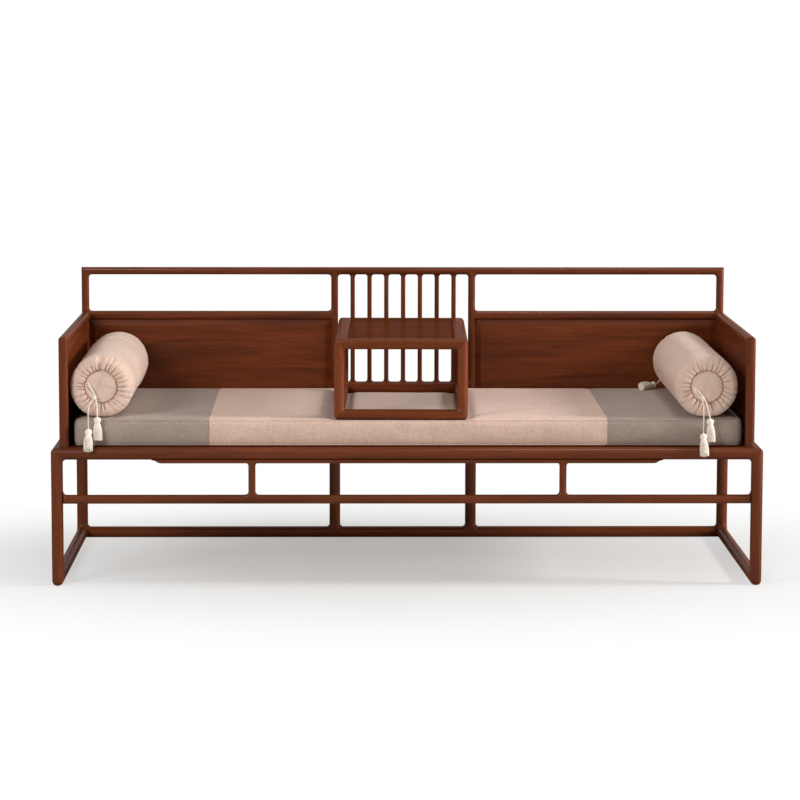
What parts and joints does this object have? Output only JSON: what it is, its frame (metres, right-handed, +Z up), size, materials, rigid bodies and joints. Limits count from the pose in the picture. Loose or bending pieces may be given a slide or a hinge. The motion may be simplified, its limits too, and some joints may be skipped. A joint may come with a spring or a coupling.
{
  "type": "daybed",
  "caption": "Chinese-style wooden daybed with low panelled arms, open spindle back, long seat cushion, round drawstring bolsters and a low tea table.",
  "frame": {"origin": "on the floor under the middle of the wooden frame", "axes": "+X along the seat, to the right when facing the back screen; +Y towards the back screen; +Z up"},
  "size_m": [2, 0.8762, 0.834],
  "materials": {
    "timber": "dark brown hardwood with a soft satin oil finish",
    "deck_wood": "plain sanded boards",
    "cushion_linen": "matt woven linen",
    "bolster_linen": "matt woven linen",
    "cord": "twisted silk-like cord"
  },
  "bodies": {
    "bed_frame": {"arm_bottom_rail_left": "timber", "arm_bottom_rail_right": "timber", "arm_panel_left": "timber", "arm_panel_right": "timber", "arm_post_left": "timber", "arm_post_right": "timber", "arm_top_rail_left": "timber", "arm_top_rail_right": "timber", "back_end_post_left": "timber", "back_end_post_right": "timber", "back_mid_post_left": "timber", "back_mid_post_right": "timber", "back_panel_bottom_rail_left": "timber", "back_panel_bottom_rail_right": "timber", "back_panel_left": "timber", "back_panel_right": "timber", "back_panel_top_rail_left": "timber", "back_panel_top_rail_right": "timber", "back_top_rail": "timber", "deck_bearers": "deck_wood", "deck_boards": "deck_wood", "floor_runner_left": "timber", "floor_runner_rear": "timber", "floor_runner_right": "timber", "front_apron": "timber", "front_stretcher": "timber", "front_struts": "timber", "lattice_bottom_rail": "timber", "lattice_skirt_board": "timber", "lattice_spindles": "timber", "leg_front_left": "timber", "leg_front_right": "timber", "leg_rear_left": "timber", "leg_rear_mid_left": "timber", "leg_rear_mid_right": "timber", "leg_rear_right": "timber", "seat_rail_front": "timber", "seat_rail_left": "timber", "seat_rail_rear": "timber", "seat_rail_right": "timber"},
    "cushion": {"seat_cushion": "cushion_linen"},
    "tea_table": {"table_base_rails": "timber", "table_legs": "timber", "table_top_panel": "timber", "table_top_rails": "timber"},
    "bolster_left": {"bolster_left": "bolster_linen", "bolster_left_knot": "cord", "drawstring_left_front_a": "cord", "drawstring_left_front_b": "cord", "tassel_left_front_a": "cord", "tassel_left_front_b": "cord"},
    "bolster_right": {"bolster_right": "bolster_linen", "bolster_right_knot": "cord", "drawstring_right_front_a": "cord", "drawstring_right_front_b": "cord", "drawstring_right_rear": "cord", "tassel_right_front_a": "cord", "tassel_right_front_b": "cord", "tassel_right_rear": "cord"}
  },
  "joints": [
    {"name": "cushion_lift", "type": "slide", "parent": "bed_frame", "child": "cushion", "axis": [0, 0, 1], "range_m": [0, 0.3]},
    {"name": "table_lift", "type": "slide", "parent": "cushion", "child": "tea_table", "axis": [0, 0, 1], "range_m": [0, 0.3]},
    {"name": "bolster_left_lift", "type": "slide", "parent": "cushion", "child": "bolster_left", "axis": [0, 0, 1], "range_m": [0, 0.3]},
    {"name": "bolster_right_lift", "type": "slide", "parent": "cushion", "child": "bolster_right", "axis": [0, 0, 1], "range_m": [0, 0.3]}
  ]
}
